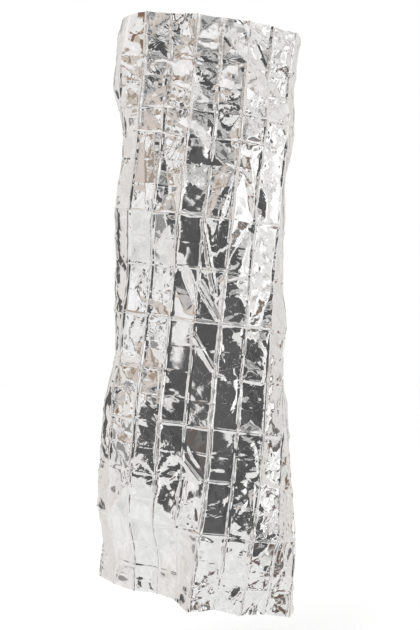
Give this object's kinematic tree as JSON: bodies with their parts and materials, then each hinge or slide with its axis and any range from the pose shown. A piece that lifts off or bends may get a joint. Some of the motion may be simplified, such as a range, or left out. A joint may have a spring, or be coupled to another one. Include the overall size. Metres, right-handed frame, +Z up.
{
  "type": "emergency foil blanket",
  "caption": "Thin silver film sheet with the fold lines of its pack, hung by its top edge so that both sides wrap to the back, with a wavy hem.",
  "frame": {"origin": "on the top edge, at its fifth fold line from the left, about a third of the way across the front: where the sheet is held", "axes": "+Z up along the hang, -Y to the front that the picture shows, +X to the right seen from the front"},
  "size_m": [0.7586, 0.5022, 2.2307],
  "materials": {
    "silver_film": "bright metal-coated film, mirror-like and creased"
  },
  "bodies": {
    "root": {"foil_sheet": "silver_film"}
  },
  "joints": []
}
